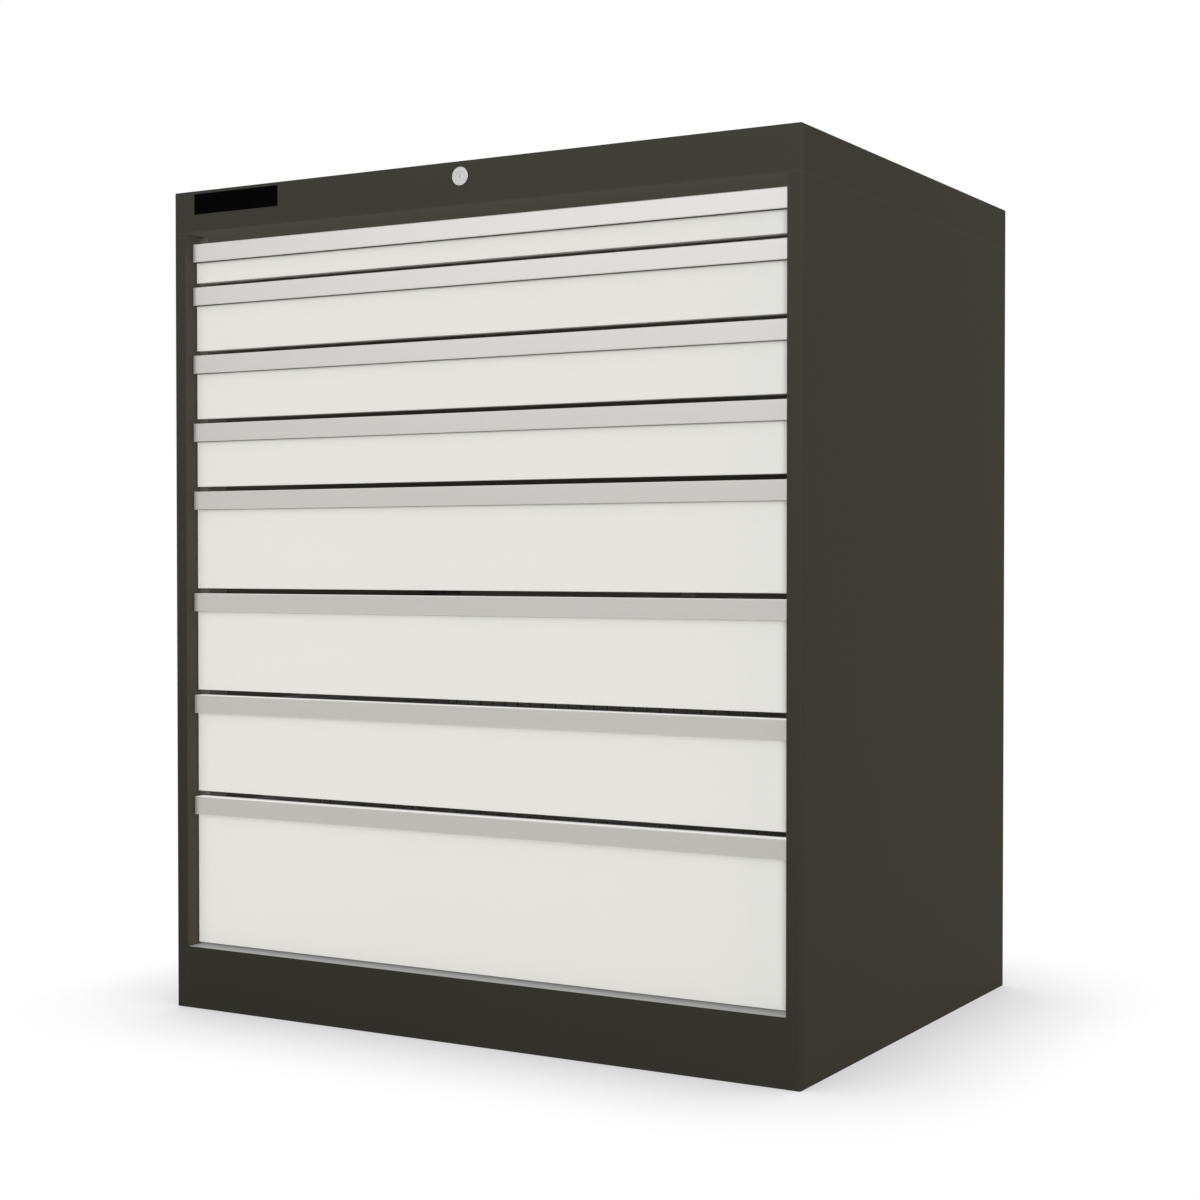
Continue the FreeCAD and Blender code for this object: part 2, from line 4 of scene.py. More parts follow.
import bmesh
import bpy
from bpy.props import FloatProperty, FloatVectorProperty, PointerProperty
from bpy.types import Operator, Panel, PropertyGroup
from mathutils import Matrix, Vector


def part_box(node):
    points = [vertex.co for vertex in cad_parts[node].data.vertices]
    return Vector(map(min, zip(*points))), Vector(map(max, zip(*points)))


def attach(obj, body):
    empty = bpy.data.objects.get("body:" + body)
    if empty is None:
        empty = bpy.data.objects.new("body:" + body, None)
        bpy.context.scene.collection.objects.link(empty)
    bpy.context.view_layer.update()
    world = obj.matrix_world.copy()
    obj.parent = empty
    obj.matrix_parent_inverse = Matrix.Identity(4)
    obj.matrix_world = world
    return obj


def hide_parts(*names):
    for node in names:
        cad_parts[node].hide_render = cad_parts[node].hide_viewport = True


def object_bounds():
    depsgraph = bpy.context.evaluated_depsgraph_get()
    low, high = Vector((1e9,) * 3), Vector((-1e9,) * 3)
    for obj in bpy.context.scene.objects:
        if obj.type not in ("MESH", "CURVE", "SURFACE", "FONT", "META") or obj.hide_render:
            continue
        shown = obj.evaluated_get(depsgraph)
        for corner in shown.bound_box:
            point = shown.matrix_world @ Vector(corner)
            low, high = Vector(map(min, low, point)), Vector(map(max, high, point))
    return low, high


bl_info = {
    "name": "Drawer cabinet finishes",
    "version": (1, 0, 0),
    "blender": (4, 5, 0),
    "location": "3D View > Sidebar > Cabinet",
    "description": "Finishes, slotted trays, light and camera for a heavy-duty drawer cabinet",
    "category": "Object",
}

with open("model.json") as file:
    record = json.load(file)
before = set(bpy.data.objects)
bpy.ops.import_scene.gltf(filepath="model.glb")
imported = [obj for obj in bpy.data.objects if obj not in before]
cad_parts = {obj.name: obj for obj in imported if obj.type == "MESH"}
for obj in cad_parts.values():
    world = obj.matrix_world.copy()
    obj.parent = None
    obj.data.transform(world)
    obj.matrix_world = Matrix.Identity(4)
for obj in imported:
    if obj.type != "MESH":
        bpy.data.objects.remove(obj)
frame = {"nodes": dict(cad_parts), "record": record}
cad_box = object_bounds()
nodes = frame["nodes"]
record = frame["record"]
body_of = {
    node: body
    for body, members in record["behaviour"]["bodies"].items()
    for node in members
}
drawer_numbers = range(1, 1 + sum(name.startswith("tray_") for name in nodes))

# Outer faces of the cabinet, in metres
FRONT_FACE = cad_box[0][1]
RIGHT_FACE = cad_box[1][0]
TOP_FACE = cad_box[1][2]

# Height of the cap, whose lower edge is the seam with the side panels
CAP_HEIGHT = 0.060

# Sheet thickness and rim of the trays, as the construction has them
TRAY_SHEET = 0.0015
TRAY_RIM = 0.006

# Share of a slot's width that rounds each of its corners, just under the half at which two
# corners meet, and the steps in such a corner
CORNER_SHARE = 0.49
CORNER_STEPS = 2

# Distance in which the strips of a tray's walls are welded
WELD_REACH = 0.00002

# Distance in which a construction piece's corners are one point, and the angle in which its
# faces are one
JOIN_REACH = 0.000002
FLAT_ANGLE = math.radians(0.3)

# Least angle of an edge that gets a soft break, and the steps of the break
SHARP_ANGLE = math.radians(38.0)
BREAK_STEPS = 2

# Depth over which the painted shading of a front face fades behind it
PAINTED_SHADING_FADE = 0.012

# How far inside the sides of the cabinet the ends of the fronts start to grow lighter with
# painted light, and where they are lightest
ENDS_START = 0.085
ENDS_FULL = 0.022

# How squarely a face looks towards its pale neighbours when it takes the first of their
# painted light, and when it takes all of it
FACING_START = 0.3
FACING_FULL = 0.8

# Flatness of the view at which a satin handle starts to show a painted reflection of what is
# beside it, and at which it shows all of it
PAINTED_REFLECTION_START = 0.25
PAINTED_REFLECTION_FULL = 0.75

# Share of its given depth that a finish's relief shows
RELIEF = 0.6

# Samples of the rounded normal at worn edges with their painted highlight, and of the painted
# soft shade on the floor
EDGE_MASK_SAMPLES = 4
SHADE_SAMPLES = 24

# Half the width of the floor, and how far it lies under the feet
FLOOR_REACH = 30.0
FLOOR_DROP = 0.0002

# Width of the camera's sensor, in millimetres
SENSOR_WIDTH = 36.0

WHITE = (1.0, 1.0, 1.0, 1.0)
BLACK = (0.0, 0.0, 0.0, 1.0)

# Sockets of the Mix node, which has them for numbers and for colours
MIX_FACTOR = 0
MIX_NUMBER_1 = 2
MIX_NUMBER_2 = 3
MIX_COLOUR_1 = 6
MIX_COLOUR_2 = 7
MIXED_NUMBER = 0
MIXED_COLOUR = 2

# Socket of the Fillet Curve node for the steps in a corner
FILLET_STEPS = 1

# Kinds of a group's sockets
NUMBER = "NodeSocketFloat"
COUNT = "NodeSocketInt"
VECTOR = "NodeSocketVector"
COLOUR = "NodeSocketColor"

# What an effect puts out: a whole finish, or a colour alone
FINISH_OUTPUTS = {"Colour": COLOUR, "Roughness": NUMBER, "Height": NUMBER}
COLOUR_OUTPUT = {"Colour": COLOUR}


def colour_property(name, description, default):
    """A colour, without its alpha"""
    return FloatVectorProperty(
        name=name, description=description, subtype="COLOR",
        size=3, min=0.0, max=1.0, default=default,
    )


def length_property(name, description, default):
    """A length in metres"""
    return FloatProperty(
        name=name, description=description, unit="LENGTH", min=0.0, default=default
    )


def angle_property(name, description, degrees):
    """An angle, whose default is given in degrees"""
    return FloatProperty(
        name=name, description=description, subtype="ANGLE", default=math.radians(degrees)
    )


def strength_property(name, description, default):
    """The strength of a light"""
    return FloatProperty(name=name, description=description, min=0.0, default=default)


def share_property(name, description, default):
    """A share from 0 to 1"""
    return FloatProperty(
        name=name, description=description, subtype="FACTOR",
        min=0.0, max=1.0, default=default,
    )


class CabinetPaints(PropertyGroup):
    """Colours of the powder coats, and of the painted light that they throw on each other"""

    housing: colour_property("Housing", "Dark warm grey of the housing", (0.045, 0.0435, 0.0345))
    fronts: colour_property("Fronts", "Light warm grey of the drawer fronts", (0.80, 0.79, 0.75))
    trays: colour_property("Trays", "Light warm grey of the trays", (0.71, 0.713, 0.688))
    # Painted light: faint glow on the trays, which lifts the dark gaps between the drawers
    inside: colour_property("Inside", "Faint light between the drawers", (0.003, 0.0029, 0.0024))
    pan: colour_property(
        "Floor pan", "Mid grey of the floor pan and its sill", (0.23, 0.235, 0.23)
    )
    # Painted light: glow on the upward faces of the floor pan at its front sill
    sill: colour_property(
        "Sill", "Light that the lowest drawer throws on the sill", (0.165, 0.168, 0.165)
    )
    # Painted light: glow on the underside of the cap
    underside: colour_property(
        "Underside", "Light that the pale drawers throw on the underside of the cap",
        (0.0575, 0.055, 0.0445),
    )
    # Painted light: glow on the inward faces of the housing and on the inside of the back panel
    stile_glow: colour_property(
        "Stiles inside", "Light that the pale drawers throw on the inner faces of the stiles",
        (0.022, 0.0205, 0.017),
    )
    plate: colour_property("Plate", "Black of the plate on the fascia", (0.002, 0.002, 0.002))


class CabinetMetals(PropertyGroup):
    """Colours of the bare and plated metals, and of the painted light that falls on them"""

    aluminium: colour_property(
        "Aluminium", "Satin anodised handle extrusions", (0.507, 0.497, 0.469)
    )
    zinc: colour_property("Zinc plate", "Plated rails, uprights and lock bar", (0.52, 0.53, 0.53))
    steel: colour_property(
        "Roller steel", "Ground steel of carriages and rollers", (0.58, 0.58, 0.57)
    )
    screws: colour_property("Screws", "Plated screws and bolts", (0.60, 0.60, 0.57))
    chrome: colour_property("Lock", "Satin chrome of the lock", (0.39, 0.39, 0.375))
    # Painted light: glow on the tops and undersides of the handles, in flat views
    handle_tops: colour_property(
        "Handle tops", "Light that the fronts throw on the handles", (0.70, 0.70, 0.69)
    )
    # Painted light: faint glow on all rails and on the lock's rod, bar and brackets
    runner_light: colour_property(
        "Runner light", "Faint light on the rails behind the stiles", (0.014, 0.013, 0.011)
    )
    # Painted light: faint glow on the whole plug of the lock
    plug_light: colour_property(
        "Plug light", "Faint light in the key slot of the plug", (0.26, 0.26, 0.25)
    )
    # Painted light: glow on the inward and forward faces of the front uprights
    upright_light: colour_property(
        "Upright light", "Light that the fronts throw on the front uprights",
        (0.050, 0.045, 0.038),
    )


class CabinetDetails(PropertyGroup):
    """Sizes of the small forms"""

    ease: length_property("Edge ease", "Width of the soft break on sheet edges", 0.0004)
    slot_width: length_property("Slot width", "Width of the slots in the tray walls", 0.003)
    slot_height: length_property("Slot height", "Height of the slots in the tray walls", 0.020)
    slot_pitch: length_property("Slot pitch", "Distance from slot to slot along a wall", 0.025)
    row_pitch: length_property("Row pitch", "Distance from one row of slots to the next", 0.030)
    row_start: length_property("First row", "Height of the plain strip under the slots", 0.012)
    row_margin: length_property(
        "Top strip", "Least height of the plain strip over the slots", 0.003
    )


class CabinetStudio(PropertyGroup):
    """Camera, floor and light"""

    camera_place: FloatVectorProperty(
        name="Camera", description="Place of the camera", subtype="TRANSLATION",
        unit="LENGTH", default=(1.5826, -2.7416, 0.6599),
    )
    camera_turn: angle_property("Turn", "Turn of the camera to the left of straight back", 30.0)
    camera_pitch: angle_property("Pitch", "Tilt of the camera, upwards", -1.085)
    field_of_view: angle_property("Field of view", "Width of the camera's view", 32.0)
    dome: strength_property("Dome", "Strength of the even light all round", 0.32)
    fill: strength_property("Fill", "Strength of the broad light from beside the camera", 2.05)
    side_light: strength_property(
        "Side light", "Strength of the warm light on the right side", 0.70
    )
    left_light: strength_property(
        "Left light", "Strength of the broad light on the left side", 0.6
    )
    back_light: strength_property("Back light", "Strength of the broad light from behind", 2.0)
    softbox: FloatProperty(
        name="Softbox", description="Power of the large lamp before the front",
        unit="POWER", min=0.0, default=118.0,
    )
    floor_white: share_property("Floor", "Whiteness of the floor", 0.45)
    floor_light: strength_property(
        "Floor light", "Strength of the even light that the floor gives back", 0.24
    )
    shade_reach: length_property("Shade reach", "How far the soft shade lies on the floor", 0.27)
    shade_depth: share_property(
        "Shade depth", "How dark the shade is where the floor is half covered", 0.36
    )


# Helpers for node trees
def add_node(tree, kind, inputs=None, **settings):
    """A new node, each of whose inputs is given a value or the socket that feeds it"""
    node = tree.nodes.new(kind)
    for key, value in settings.items():
        setattr(node, key, value)
    for name, value in (inputs or {}).items():
        if isinstance(value, bpy.types.NodeSocket):
            tree.links.new(value, node.inputs[name])
        else:
            node.inputs[name].default_value = value
    return node


def calculate(tree, operation, first, second=0.0, third=0.0):
    """The result of a sum on numbers or sockets"""
    inputs = {0: first, 1: second, 2: third}
    return add_node(tree, "ShaderNodeMath", inputs, operation=operation).outputs[0]


def ramp(tree, value, start, end, low=0.0, high=1.0):
    """Goes from low to high as the value goes from start to end, and no further"""
    inputs = {"Value": value, "From Min": start, "From Max": end, "To Min": low, "To Max": high}
    return add_node(tree, "ShaderNodeMapRange", inputs).outputs[0]


def mix_colours(tree, factor, first, second, blend="MIX"):
    """The first colour, changed by the second as far as the factor says"""
    inputs = {MIX_FACTOR: factor, MIX_COLOUR_1: first, MIX_COLOUR_2: second}
    node = add_node(tree, "ShaderNodeMix", inputs, data_type="RGBA", blend_type=blend)
    return node.outputs[MIXED_COLOUR]


def grey(tree, shade):
    """The grey of the given shade"""
    return add_node(tree, "ShaderNodeCombineColor", {0: shade, 1: shade, 2: shade}).outputs[0]


def shaded(tree, colour, shade, share=1.0):
    """The colour times the shade, on the given share of the surface"""
    return mix_colours(tree, share, colour, grey(tree, shade), "MULTIPLY")


def piece_place(tree):
    """The place of a point, in the piece's own coordinates"""
    return add_node(tree, "ShaderNodeTexCoord").outputs["Object"]


def parts_of(tree, vector):
    """The X, Y and Z of a place or a direction"""
    return add_node(tree, "ShaderNodeSeparateXYZ", {0: vector}).outputs


def stretched(tree, place, scale):
    """The place scaled by its own number in each direction"""
    return add_node(tree, "ShaderNodeMapping", {"Vector": place, "Scale": scale}).outputs[0]


def noise(tree, place, scale, detail):
    """Soft noise from 0 to 1"""
    inputs = {"Vector": place, "Scale": scale, "Detail": detail}
    return add_node(tree, "ShaderNodeTexNoise", inputs).outputs[0]


def centred(tree, value):
    """A value from 0 to 1 moved to lie around 0"""
    return calculate(tree, "SUBTRACT", value, 0.5)


def new_tree(name, inputs, outputs, kind="ShaderNodeTree"):
    """A node tree with named sockets: the tree, what it is given and what it puts out"""
    tree = bpy.data.node_groups.new(name, kind)
    for label, (socket_type, default) in inputs.items():
        socket = tree.interface.new_socket(name=label, in_out="INPUT", socket_type=socket_type)
        if default is not None:
            socket.default_value = default
    for label, socket_type in outputs.items():
        tree.interface.new_socket(name=label, in_out="OUTPUT", socket_type=socket_type)
    given = tree.nodes.new("NodeGroupInput").outputs
    out = tree.nodes.new("NodeGroupOutput").inputs
    return tree, given, out


def put_out(tree, out, **results):
    """Links each result to the output of its name, and returns the tree"""
    for label, result in results.items():
        tree.links.new(result, out[label])
    return tree


def once(make):
    """The node group that a function makes, made the first time it is asked for"""
    return bpy.data.node_groups.get(make.__name__) or make(make.__name__)


# Effects that several finishes share
def powder_skin(name):
    """Fine orange peel of a powder coat, with slight clouds of colour"""
    inputs = {
        "Colour": (COLOUR, WHITE),
        "Clouds": (NUMBER, 0.03),
        "Grain": (NUMBER, 700.0),
        "Roughness": (NUMBER, 0.5),
    }
    cloud_stretch = (3.0, 3.0, 0.8)
    speck_tone = 0.25
    speck_height = 0.3
    gloss_swing = 0.16
    tree, given, out = new_tree(name, inputs, FINISH_OUTPUTS)
    place = piece_place(tree)
    peel = noise(tree, place, scale=given["Grain"], detail=2.0)
    speck = noise(tree, place, scale=2600.0, detail=1.0)
    cloud = noise(tree, stretched(tree, place, cloud_stretch), scale=1.0, detail=3.0)
    fine = calculate(tree, "MULTIPLY", centred(tree, speck), speck_tone)
    swing = calculate(tree, "ADD", centred(tree, cloud), fine)
    shade = calculate(tree, "MULTIPLY_ADD", swing, given["Clouds"], 1.0)
    rough = calculate(tree, "MULTIPLY_ADD", centred(tree, peel), gloss_swing, given["Roughness"])
    height = calculate(tree, "MULTIPLY_ADD", speck, speck_height, peel)
    colour = shaded(tree, given["Colour"], shade)
    return put_out(tree, out, Colour=colour, Roughness=rough, Height=height)


def drawn_grain(name):
    """Fine lines along one direction, as on an extrusion or ground steel"""
    inputs = {
        "Colour": (COLOUR, WHITE),
        "Lines": (VECTOR, (6.0, 900.0, 900.0)),
        "Contrast": (NUMBER, 0.06),
        "Roughness": (NUMBER, 0.3),
    }
    gloss_swing = 1.5
    tree, given, out = new_tree(name, inputs, FINISH_OUTPUTS)
    along = stretched(tree, piece_place(tree), given["Lines"])
    lines = noise(tree, along, scale=1.0, detail=4.0)
    bands = noise(tree, along, scale=0.12, detail=1.0)
    swing = calculate(tree, "SUBTRACT", calculate(tree, "ADD", lines, bands), 1.0)
    shade = calculate(tree, "MULTIPLY_ADD", swing, given["Contrast"], 1.0)
    contrast = calculate(tree, "MULTIPLY", swing, given["Contrast"])
    rough = calculate(tree, "MULTIPLY_ADD", contrast, gloss_swing, given["Roughness"])
    colour = shaded(tree, given["Colour"], shade)
    return put_out(tree, out, Colour=colour, Roughness=rough, Height=lines)


def zinc_bloom(name):
    """Cloudy crystals and faint colour of zinc plate"""
    inputs = {
        "Colour": (COLOUR, WHITE),
        "Tint": (COLOUR, (0.75, 0.80, 0.90, 1.0)),
        "Cells": (NUMBER, 160.0),
        "Roughness": (NUMBER, 0.35),
    }
    cell_gloss = 0.14
    bloom_gloss = 0.10
    cell_height = 0.5
    tree, given, out = new_tree(name, inputs, FINISH_OUTPUTS)
    place = piece_place(tree)
    cells = add_node(tree, "ShaderNodeTexVoronoi", {"Vector": place, "Scale": given["Cells"]})
    cell = add_node(tree, "ShaderNodeSeparateColor", {0: cells.outputs["Color"]}).outputs[0]
    bloom = noise(tree, place, scale=14.0, detail=4.0)
    tinted = mix_colours(tree, 1.0, given["Colour"], given["Tint"], "MULTIPLY")
    colour = mix_colours(tree, bloom, given["Colour"], tinted)
    swing = calculate(tree, "MULTIPLY", centred(tree, cell), cell_gloss)
    rough_cells = calculate(tree, "ADD", swing, given["Roughness"])
    rough = calculate(tree, "MULTIPLY_ADD", bloom, bloom_gloss, rough_cells)
    height = calculate(tree, "MULTIPLY_ADD", cell, cell_height, bloom)
    return put_out(tree, out, Colour=colour, Roughness=rough, Height=height)


def painted_face_shading(name):
    """Painted light and shade on front faces, which grow lighter or darker towards the top, the
    right and both ends
    """
    inputs = {
        "Colour": (COLOUR, WHITE),
        "Face": (NUMBER, 0.004),
        "Low": (NUMBER, 1.0),
        "High": (NUMBER, 1.0),
        "Sideways": (NUMBER, 0.0),
        "Ends": (NUMBER, 0.0),
    }
    tree, given, out = new_tree(name, inputs, COLOUR_OUTPUT)
    spot = parts_of(tree, piece_place(tree))
    depth = calculate(tree, "SUBTRACT", spot["Y"], FRONT_FACE)
    behind = calculate(tree, "ADD", given["Face"], PAINTED_SHADING_FADE)
    near = ramp(tree, depth, start=behind, end=given["Face"])
    rise = ramp(tree, spot["Z"], 0.0, TOP_FACE, low=given["Low"], high=given["High"])
    shade = calculate(tree, "MULTIPLY_ADD", spot["X"], given["Sideways"], rise)
    aside = calculate(tree, "ABSOLUTE", spot["X"])
    ends = ramp(tree, aside, start=RIGHT_FACE - ENDS_START, end=RIGHT_FACE - ENDS_FULL)
    ends = calculate(tree, "POWER", ends, 2.0)
    shade = calculate(tree, "MULTIPLY_ADD", ends, given["Ends"], shade)
    return put_out(tree, out, Colour=shaded(tree, given["Colour"], shade, near))


def seam_highlight(name):
    """A painted highlight: a lighter line where the cap meets the side panels"""
    inputs = {
        "Colour": (COLOUR, WHITE),
        "Gain": (NUMBER, 1.5),
        "Reach": (NUMBER, 0.0011),
    }
    tree, given, out = new_tree(name, inputs, COLOUR_OUTPUT)
    spot = parts_of(tree, piece_place(tree))
    rise = calculate(tree, "SUBTRACT", spot["Z"], TOP_FACE - CAP_HEIGHT)
    away = calculate(tree, "ABSOLUTE", rise)
    near = calculate(tree, "LESS_THAN", away, given["Reach"])
    return put_out(tree, out, Colour=shaded(tree, given["Colour"], given["Gain"], near))


def edge_rub_and_highlight(name):
    """Mask of worn edges, which also carry a painted highlight: strong where the rounded normal
    leaves the flat one, broken by noise
    """
    inputs = {
        "Reach": (NUMBER, 0.0012),
        "Amount": (NUMBER, 0.3),
    }
    turn_gain = 5.0
    tree, given, out = new_tree(name, inputs, {"Mask": NUMBER})
    inputs = {"Radius": given["Reach"]}
    rounded = add_node(tree, "ShaderNodeBevel", inputs, samples=EDGE_MASK_SAMPLES).outputs[0]
    flat = add_node(tree, "ShaderNodeNewGeometry").outputs["True Normal"]
    inputs = {0: rounded, 1: flat}
    along = add_node(tree, "ShaderNodeVectorMath", inputs, operation="DOT_PRODUCT")
    turned = calculate(tree, "SUBTRACT", 1.0, along.outputs["Value"])
    chips = noise(tree, piece_place(tree), scale=60.0, detail=4.0)
    broken = calculate(tree, "MULTIPLY", calculate(tree, "MULTIPLY", turned, turn_gain), chips)
    worn = calculate(tree, "MULTIPLY", broken, given["Amount"])
    mask = add_node(tree, "ShaderNodeClamp", {0: worn}).outputs[0]
    return put_out(tree, out, Mask=mask)


def painted_bounce_light(name):
    """Painted light, as glow, for the light that pale neighbours throw on faces that look up,
    down, inwards or forward
    """
    inputs = {
        "Colour": (COLOUR, WHITE),
        "Upward": (NUMBER, 0.0),
        "Downward": (NUMBER, 0.0),
        "Inward": (NUMBER, 0.0),
        "Forward": (NUMBER, 0.0),
        "Front": (NUMBER, 0.026),
        "Back": (NUMBER, 0.036),
    }
    tree, given, out = new_tree(name, inputs, COLOUR_OUTPUT)
    spot = parts_of(tree, piece_place(tree))
    turned = parts_of(tree, add_node(tree, "ShaderNodeNewGeometry").outputs["Normal"])
    depth = calculate(tree, "SUBTRACT", spot["Y"], FRONT_FACE)
    near = ramp(tree, depth, start=given["Back"], end=given["Front"])
    outward = calculate(tree, "MULTIPLY", turned["X"], calculate(tree, "SIGN", spot["X"]))
    facings = {
        "Upward": turned["Z"],
        "Downward": calculate(tree, "MULTIPLY", turned["Z"], -1.0),
        "Inward": calculate(tree, "MULTIPLY", outward, -1.0),
        "Forward": calculate(tree, "MULTIPLY", turned["Y"], -1.0),
    }
    share = 0.0
    for label, facing in facings.items():
        met = ramp(tree, facing, start=FACING_START, end=FACING_FULL)
        share = calculate(tree, "MULTIPLY_ADD", met, given[label], share)
    share = calculate(tree, "MULTIPLY", share, near)
    return put_out(tree, out, Colour=mix_colours(tree, share, BLACK, given["Colour"]))


# Helpers for finishes
def times(colour, share):
    """The colour made darker or lighter"""
    return tuple(channel * share for channel in colour)


def rgba(colour):
    """The colour with full alpha"""
    return tuple(colour) + (1.0,)


def shader_of(material):
    """The material's own Principled shader"""
    return material.node_tree.nodes["Principled BSDF"]


def place_effect(tree, effect, **values):
    """Places an effect in a material with its own values, and returns what it puts out"""
    return add_node(tree, "ShaderNodeGroup", values, node_tree=once(effect)).outputs


def surfaced(name, effect, depth, **values):
    """A material that takes its colour, roughness and relief from an effect"""
    material = bpy.data.materials.new(name)
    material.use_nodes = True
    tree, shader = material.node_tree, shader_of(material)
    surface = place_effect(tree, effect, **values)
    tree.links.new(surface["Colour"], shader.inputs["Base Color"])
    tree.links.new(surface["Roughness"], shader.inputs["Roughness"])
    inputs = {"Height": surface["Height"], "Strength": RELIEF, "Distance": depth}
    relief = add_node(tree, "ShaderNodeBump", inputs).outputs["Normal"]
    tree.links.new(relief, shader.inputs["Normal"])
    return material


def painted(name, colour, edge_colour, *, clouds, grain, roughness, specular, rub_and_highlight, depth):
    """A powder coat, with another colour on its edges: rubbed wear, and where that colour is
    lighter, a painted edge highlight
    """
    material = surfaced(
        name, powder_skin, depth,
        Colour=rgba(colour), Clouds=clouds, Grain=grain, Roughness=roughness,
    )
    tree, shader = material.node_tree, shader_of(material)
    base = shader.inputs["Base Color"]
    mask = place_effect(tree, edge_rub_and_highlight, Amount=rub_and_highlight)["Mask"]
    rubbed = mix_colours(tree, mask, base.links[0].from_socket, rgba(edge_colour))
    tree.links.new(rubbed, base)
    shader.inputs["Specular IOR Level"].default_value = specular
    return material


def bare_metal(name, effect, colour, depth, **values):
    """A metal with the lines or the crystals of an effect"""
    material = surfaced(name, effect, depth, Colour=rgba(colour), **values)
    shader_of(material).inputs["Metallic"].default_value = 1.0
    return material


def toned(material, effect, **values):
    """Puts an effect on colour between the material's colour and its shader"""
    tree = material.node_tree
    base = shader_of(material).inputs["Base Color"]
    changed = place_effect(tree, effect, Colour=base.links[0].from_socket, **values)
    tree.links.new(changed["Colour"], base)
    return material


def with_painted_glow(material, colour):
    """Adds the same faint painted light, as glow, on all faces of the material"""
    shader = shader_of(material)
    shader.inputs["Emission Color"].default_value = rgba(colour)
    shader.inputs["Emission Strength"].default_value = 1.0
    return material


def with_painted_bounce(material, colour, **values):
    """Adds painted glow for the light that pale neighbours throw on the material's faces"""
    tree, shader = material.node_tree, shader_of(material)
    glow = place_effect(tree, painted_bounce_light, Colour=rgba(colour), **values)["Colour"]
    tree.links.new(glow, shader.inputs["Emission Color"])
    shader.inputs["Emission Strength"].default_value = 1.0
    return material


def painted_flat_reflection(material):
    """Keeps the painted thrown light for flat views, where it is a painted reflection of what is
    beside the satin metal
    """
    tree = material.node_tree
    glow = shader_of(material).inputs["Emission Color"]
    whole = glow.links[0].from_socket
    turned = add_node(tree, "ShaderNodeLayerWeight", {"Blend": 0.5}).outputs["Facing"]
    share = ramp(tree, turned, start=PAINTED_REFLECTION_START, end=PAINTED_REFLECTION_FULL)
    tree.links.new(mix_colours(tree, share, BLACK, whole), glow)
    return material


# Finishes
def housing_coat(name, colour, paints):
    """Coarse matt powder coat of the housing's sheets, whose lighter rubbed edges are wear and a
    painted highlight
    """
    return painted(
        name, colour, times(paints.housing, 1.8),
        clouds=0.10, grain=650.0, roughness=0.62, specular=0.02, rub_and_highlight=0.3, depth=0.00012,
    )


def housing_powder(paints):
    """Housing, with painted shading lighter towards the top and the right, a painted highlight on
    its seam and painted light on the stiles' inner faces
    """
    material = housing_coat("housing_powder", paints.housing, paints)
    toned(material, painted_face_shading, Low=0.80, High=1.07, Sideways=0.14)
    toned(material, seam_highlight, Gain=1.3)
    return with_painted_bounce(material, paints.stile_glow, Inward=1.0, Front=0.08, Back=1.2)


def back_powder(paints):
    """Back panel, with painted glow for the light of the drawers on its inside"""
    material = housing_coat("back_powder", paints.housing, paints)
    return with_painted_bounce(material, paints.stile_glow, Forward=0.9, Front=1.0, Back=1.2)


def underside_powder(paints):
    """Underside of the cap, darker itself and given painted glow for the light of the first
    drawer
    """
    material = housing_coat("underside_powder", times(paints.housing, 0.25), paints)
    return with_painted_bounce(material, paints.underside, Downward=1.0, Front=0.12, Back=0.13)


def front_powder(paints):
    """Drawer fronts, evened over their height and their width by painted light and shade, lighter
    towards the bottom and the ends
    """
    material = painted(
        "front_powder", paints.fronts, times(paints.fronts, 1.04),
        clouds=0.02, grain=750.0, roughness=0.55, specular=0.22, rub_and_highlight=0.3, depth=0.00006,
    )
    return toned(material, painted_face_shading, Face=0.026, Low=1.10, High=0.98, Sideways=0.02, Ends=0.10)


def tray_powder(paints):
    """Trays, with a faint painted glow for the light between the drawers"""
    material = painted(
        "tray_powder", paints.trays, times(paints.trays, 0.9),
        clouds=0.04, grain=700.0, roughness=0.55, specular=0.3, rub_and_highlight=0.3, depth=0.00006,
    )
    return with_painted_glow(material, paints.inside)


def inner_powder(paints):
    """Floor pan, with painted glow for the light of the lowest drawer on its sill"""
    material = painted(
        "inner_powder", paints.pan, times(paints.pan, 1.2),
        clouds=0.05, grain=700.0, roughness=0.5, specular=0.3, rub_and_highlight=0.3, depth=0.00008,
    )
    return with_painted_bounce(material, paints.sill, Upward=1.0, Front=0.03, Back=0.05)


def plate_lacquer(paints):
    """Fine matt black of the bare plate, whose much lighter rubbed edges are wear and a painted
    highlight
    """
    return painted(
        "plate_lacquer", paints.plate, times(paints.plate, 4.0),
        clouds=0.3, grain=1400.0, roughness=0.6, specular=0.0, rub_and_highlight=0.4, depth=0.00002,
    )


def handle_anodised(metals):
    """Satin handles with fine lines along them, painted shading lighter towards the top, and a
    painted reflection of the fronts on their tops and undersides in flat views
    """
    metal = bare_metal(
        "handle_anodised", drawn_grain, metals.aluminium, depth=0.000004,
        Lines=(5.0, 1500.0, 1500.0), Contrast=0.03, Roughness=0.30,
    )
    shader = shader_of(metal)
    shader.inputs["Metallic"].default_value = 0.6
    shader.inputs["Specular IOR Level"].default_value = 0.2
    toned(metal, painted_face_shading, Face=0.013, Low=0.98, High=1.065)
    with_painted_bounce(metal, metals.handle_tops, Upward=1.0, Downward=0.9)
    return painted_flat_reflection(metal)


def ground_steel(metals):
    """Carriages and rollers, ground along the way they run"""
    return bare_metal(
        "ground_steel", drawn_grain, metals.steel, depth=0.00002,
        Lines=(900.0, 12.0, 900.0), Contrast=0.10, Roughness=0.30,
    )


